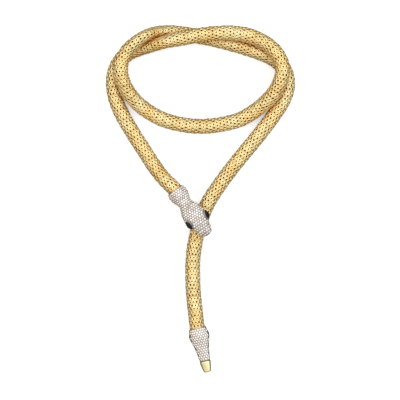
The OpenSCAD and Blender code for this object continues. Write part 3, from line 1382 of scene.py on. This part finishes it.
@dataclass
class EyeStone:
    """A pointed oval black stone in a thin collar of metal, on one side of the head."""

    head: Casting
    side: Side
    length: float = 0.0078
    width: float = 0.0042
    height: float = 0.0016
    pointedness: float = 1.6
    gap: float = 0.00016
    corners: int = 32
    rim_wall: float = 0.00028
    rim_height: float = 0.00075
    rim_root: float = 0.0008
    rim_gap: float = 0.00004
    # The eye points along the skin that lies this far ahead of its middle and behind it
    lie: float = 0.003
    # The stone's levels from the girdle's foot to the table: shares of the outline and the height
    levels: tuple[tuple[float, float], ...] = ((0.8, 0.0), (1.0, 0.3), (0.86, 0.72), (0.55, 1.0))

    @property
    def seat(self) -> Spot:
        """The place of the eye's middle on the head."""
        return EYE_SEATS[self.side]

    def covers(self, p: Vector, reach: float) -> bool:
        """Tells whether the eye comes near a point of the skin.

        Args:
            p: The point, in the head's own frame.
            reach: The distance to keep from the stone.

        Returns:
            Whether the point is within reach of it.
        """
        middle, ahead, across, _ = self.axes()
        along, aside = (p - middle).dot(ahead), abs((p - middle).dot(across))
        half_l, half_w = self.length / 2 + reach, self.width / 2 + reach
        if abs(along) >= half_l:
            return False
        return aside < half_w * (1 - (along / half_l) ** 2) ** (self.pointedness / 2)

    def axes(self) -> tuple[Vector, Vector, Vector, Vector]:
        """Finds how the eye lies on the head.

        Returns:
            Its middle on the skin, and its ways ahead, across and out.
        """
        s, a = self.seat
        out = self.head.out(s, a)
        way = (self.head.skin(s + self.lie, a) - self.head.skin(s - self.lie, a)).normalized()
        return self.head.skin(s, a), way, out.cross(way), out

    def outline(self, grow: float, share: float, lift: float) -> list[Vector]:
        """Draws the pointed oval at one height over the skin.

        Args:
            grow: Margin added all round.
            share: Scale of the outline.
            lift: Height over the skin.

        Returns:
            Its corners, in the part's frame.
        """
        p, e, f, out = self.axes()
        half_l, half_w = self.length / 2 * share + grow, self.width / 2 * share + grow
        ring = []
        for j in range(self.corners):
            t = FULL_TURN * j / self.corners
            across = math.copysign(abs(math.sin(t)) ** self.pointedness, math.sin(t))
            corner = p + out * lift + e * half_l * math.cos(t) + f * half_w * across
            ring.append(self.head.placed(corner))
        return ring

    def build(self, stone: Material, metal: Material) -> None:
        """Makes and dresses the stone and its collar.

        Args:
            stone: The stone's material.
            metal: The collar's material.
        """
        name = f"eye_{self.side.value}"
        rings = [self.outline(0, share, self.gap + up * self.height) for share, up in self.levels]
        dress(closed_shell(f"{name}_stone", rings, smooth=False), stone, Slot.BLACK_STONE, name)
        # The collar's section, from its inner foot round: margin and height
        gap, wall, root, top = self.rim_gap, self.rim_wall, self.rim_root, self.rim_height
        profile = ((gap, -root), (wall, -root), (wall, top * 0.8), (wall * 0.6, top), (gap, top))
        points = [p for grow, lift in profile for p in self.outline(grow, 1.0, lift)]
        rim = mesh_object(f"{name}_rim", points, collar_faces(len(profile), self.corners))
        dress(rim, metal, Slot.WHITE_METAL, "head_shell")


# Shares of the head's length and half width, then underside and top heights in millimetres
HEAD_TABLE = (
    (0, 0.72, 6.1, 19.9), (0.036, 0.75, 5.9, 20.2), (0.09, 0.81, 5.6, 20.7),
    (0.152, 0.77, 6, 20.8), (0.215, 0.64, 7.9, 20.6), (0.287, 0.55, 10.3, 20.8),
    (0.348, 0.62, 12, 21.6), (0.413, 0.79, 13.2, 22.7), (0.484, 0.88, 13.9, 23.7),
    (0.556, 0.96, 14.3, 24.3), (0.646, 1, 14.5, 24.6), (0.717, 0.94, 14.5, 24.3),
    (0.771, 0.78, 14.5, 23.6), (0.843, 0.62, 14.5, 22.6), (0.915, 0.53, 14.6, 21.7),
    (0.96, 0.44, 14.9, 20.8), (0.987, 0.29, 15.6, 19.8), (1, 0.11, 16.6, 18.7),
)
# The same for the tail cap, and for the gold tip with the cap's half width
CAP_TABLE = (
    (0, 0.84, 0, 14), (0.067, 0.86, 0, 14), (0.148, 0.94, 0, 14), (0.222, 1, 0, 13.9),
    (0.326, 0.93, 0, 13.2), (0.444, 0.82, 0, 12.1), (0.544, 0.73, 0, 11), (0.641, 0.66, 0, 9.9),
    (0.748, 0.61, 0, 8.9), (0.87, 0.55, 0, 7.8), (1, 0.49, 0, 7),
)
TIP_TABLE = (
    (0, 0.55, 0, 7.4), (0.2, 0.52, 0, 6.9), (0.55, 0.45, 0, 5.8), (0.85, 0.38, 0, 4.8),
    (0.97, 0.33, 0, 4.2), (1, 0.26, 0.4, 3.4),
)


def mouth(end: Sequence[float], yaw: float) -> Vector:
    """Returns a socket's mouth on the ground, back from the chain's end inside it."""
    return Vector((end[0] - CHAIN_SEAT * math.cos(yaw), end[1] - CHAIN_SEAT * math.sin(yaw), 0))


@dataclass
class Socket:
    """The round socket in a casting's mouth that the chain's end stands in."""

    height: float
    clearance: float = 0.00015
    depth: float = 0.0052
    edge: float = 0.0003

    def shell(self, name: str, casting: Casting, end: float) -> Object:
        """Makes a casting's shell round the socket.

        Args:
            name: The piece's name.
            casting: The casting.
            end: Its last station.

        Returns:
            The closed shell, from the socket's floor round the mouth to the far end.
        """
        radius = CHAIN_DIAMETER / 2 + self.clearance
        bore = [
            casting.disc(self.depth, radius, self.height),
            casting.disc(self.edge, radius, self.height),
            casting.disc(0, radius + self.edge / 2, self.height),
        ]
        return closed_shell(name, bore + casting.body(0, end, self.edge))


@dataclass
class Head:
    """The snake's head: casting, crystal field and two black eyes."""

    length: float = 0.0446
    width: float = 0.0194
    pitch: float = 0.0021
    stone_size: float = 0.00198
    spread: float = math.radians(73)
    field_start: float = 0.0013
    snout_margin: float = 0.0014
    snout_start: float = 0.028
    seed: int = 11

    def build(self, pave: Pave, metal: Material, stone: Material) -> None:
        """Makes and dresses the head.

        Args:
            pave: The setter of crystals.
            metal: The casting's metal.
            stone: The eyes' stone.
        """
        rows = rows_of(HEAD_TABLE, self.length, self.width)
        casting = Casting(rows, mouth(ROUTE[0], HEAD_YAW), HEAD_YAW)
        shell = Socket(ROUTE[0][2]).shell("head_casting", casting, self.length)
        dress(shell, metal, Slot.WHITE_METAL, "head_shell")
        eyes = [EyeStone(casting, side) for side in Side]
        ground = PaveField(
            casting,
            start=self.field_start,
            end=self.length - self.snout_margin,
            pitch=self.pitch,
            spread=self.spread,
            stone_size=self.stone_size,
            seed=self.seed,
            kept_clear=tuple(eyes),
            banded_from=self.snout_start,
        )
        pave.build("head", ground, "head_stones", "head_shell")
        for eye in eyes:
            eye.build(stone, metal)


@dataclass
class Tail:
    """The tail end: a crystal-set cap and a plain gold tip."""

    cap_length: float = 0.027
    cap_width: float = 0.0166
    tip_length: float = 0.0092
    tip_gap: float = 0.0001
    tip_edge: float = 0.0007
    pitch: float = 0.00214
    stone_size: float = 0.00206
    spread: float = math.radians(62)
    field_margin: float = 0.00125
    dimmest: float = 0.7
    seed: int = 23

    def build(self, pave: Pave, metal: Material, gold: Material) -> None:
        """Makes and dresses the tail end.

        Args:
            pave: The setter of crystals.
            metal: The cap's metal.
            gold: The tip's gold.
        """
        at = mouth(ROUTE[-1], TAIL_YAW)
        cap = Casting(rows_of(CAP_TABLE, self.cap_length, self.cap_width), at, TAIL_YAW)
        shell = Socket(ROUTE[-1][2]).shell("cap_casting", cap, self.cap_length)
        dress(shell, metal, Slot.WHITE_METAL, "tail_cap")
        ground = PaveField(
            cap,
            start=self.field_margin,
            end=self.cap_length - self.field_margin,
            pitch=self.pitch,
            spread=self.spread,
            stone_size=self.stone_size,
            seed=self.seed,
        )
        pave.build("cap", ground, "tail_stones", "tail_cap", self.dimmest)
        start = self.cap_length + self.tip_gap
        tip = Casting(rows_of(TIP_TABLE, self.tip_length, self.cap_width, start), at, TAIL_YAW)
        rings = tip.body(start, start + self.tip_length, self.tip_edge)
        dress(closed_shell("gold_tip", rings), gold, Slot.GOLD_METAL, "tail_tip")


@dataclass(frozen=True)
class Softbox:
    """A soft square lamp."""

    name: str
    place: tuple[float, float, float]
    size: float
    power: float


@dataclass
class Stage:
    """The pale floor, the soft light and the camera straight above."""

    looks_at: tuple[float, float, float] = (-0.0004, 0.0004, 0.006)
    camera_height: float = 3.0
    view_width: float = 0.32
    softboxes: tuple[Softbox, ...] = (
        Softbox("key_softbox", (0.15, 0.35, 1.3), 1.8, 5.6),
        Softbox("fill_softbox", (-0.8, 0.2, 0.9), 1.0, 1.6),
    )
    floor_size: float = 4.0
    floor_drop: float = 0.00005
    floor_white: Colour = (0.95, 0.95, 0.95)
    floor_glow: float = 0.42
    mirrored_floor: Colour = (0.2, 0.17, 0.13)
    horizon: float = 0.12
    zenith: float = 0.96
    bright_from: float = 0.3
    bright_side: Colour = (0.77, 0.64, 0.0)
    # From the dim side, -1, to the bright one, 1: where the sky's strength and tint change
    strength_range: tuple[float, float] = (-0.7, 0.7)
    tint_range: tuple[float, float] = (-0.75, -0.1)
    dim_share: float = 0.86
    full_share: float = 1.2
    dim_tint: Colour = (1.0, 0.88, 0.76)

    def build(self) -> None:
        """Makes the stage."""
        self.floor()
        self.sky()
        for box in self.softboxes:
            self.lamp(box)
        self.camera()

    def floor(self) -> None:
        """Lays a plain white floor just under the necklace."""
        r, z = self.floor_size / 2, -self.floor_drop
        corners = [Vector((x, y, z)) for x, y in ((-r, -r), (r, -r), (r, r), (-r, r))]
        plane = mesh_object("floor", corners, [(0, 1, 2, 3)], smooth=False)
        n = ShaderTree(bpy.data.materials.new("floor_white"))
        white = n.result("ShaderNodeBsdfDiffuse", {"Color": (*self.floor_white, 1)})
        glow = n.result("ShaderNodeEmission", {"Strength": self.floor_glow})
        both = {
            0: n.seen_directly(),
            1: n.result("ShaderNodeBsdfDiffuse", {"Color": (*self.mirrored_floor, 1)}),
            2: n.result("ShaderNodeAddShader", {0: white, 1: glow}),
        }
        n.add("ShaderNodeOutputMaterial", {"Surface": n.result("ShaderNodeMixShader", both)})
        coat(plane, n.owner)

    def sky(self) -> None:
        """Surrounds the scene with soft light, dimmer near the horizon and warmer on one side."""
        world = bpy.data.worlds.new("soft_white")
        bpy.context.scene.world = world
        n = ShaderTree(world)
        way = n.add("ShaderNodeTexCoord").outputs["Generated"]
        height = n.add("ShaderNodeSeparateXYZ", {0: way}).outputs["Z"]
        feeds = {0: way, 1: self.bright_side}
        side = n.add("ShaderNodeVectorMath", feeds, operation="DOT_PRODUCT").outputs["Value"]
        by_side = n.ramp(side, *self.strength_range, self.dim_share, self.full_share)
        by_height = n.ramp(height, 0.0, self.bright_from, self.horizon, self.zenith)
        seen = n.seen_directly()
        strength = {"Factor": seen, "A": n.math("MULTIPLY", by_height, by_side), "B": 1.0}
        whiteness = n.math("MAXIMUM", n.ramp(side, *self.tint_range), seen)
        light = {
            "Color": n.blend(whiteness, self.dim_tint, (1.0, 1.0, 1.0)),
            "Strength": n.result("ShaderNodeMix", strength),
        }
        n.add("ShaderNodeOutputWorld", {"Surface": n.result("ShaderNodeBackground", light)})

    def lamp(self, box: Softbox) -> None:
        """Hangs a softbox that faces the necklace.

        Args:
            box: Its place, size and power.
        """
        light = bpy.data.lights.new(box.name, "AREA")
        light.shape = "SQUARE"
        light.size = box.size
        light.energy = box.power
        lamp = show(bpy.data.objects.new(box.name, light))
        lamp.location = box.place
        way = Vector(self.looks_at) - Vector(box.place)
        lamp.rotation_euler = way.to_track_quat("-Z", "Y").to_euler()

    def camera(self) -> None:
        """Puts a long lens straight above, with +Y up in the picture."""
        x, y, z = self.looks_at
        lens = bpy.data.cameras.new("camera")
        lens.sensor_width = 36
        lens.lens = lens.sensor_width * (self.camera_height - z) / self.view_width
        lens.clip_start, lens.clip_end = 0.1, 20
        view = show(bpy.data.objects.new("camera", lens))
        view.location = (x, y, self.camera_height)
        bpy.context.scene.camera = view


def main() -> None:
    """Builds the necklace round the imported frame."""
    logging.basicConfig(level=logging.INFO, format="%(name)s: %(message)s")
    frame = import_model()
    bpy.context.scene.view_settings.view_transform = "Standard"
    route = ChainRoute(ROUTE, CHAIN_DIAMETER)
    LOG.info("chain: %.1f mm", route.length / MM)
    WovenChain(route).build()
    white = WHITE_METAL.material()
    pave = Pave(CRYSTAL.material(), white)
    Head().build(pave, white, BLACK_STONE.material())
    Tail().build(pave, white, TIP_GOLD.material())
    coat(frame["nodes"]["slide_loop"], LOOP_GOLD.material())
    Stage().build()


if __name__ == "__main__":
    main()
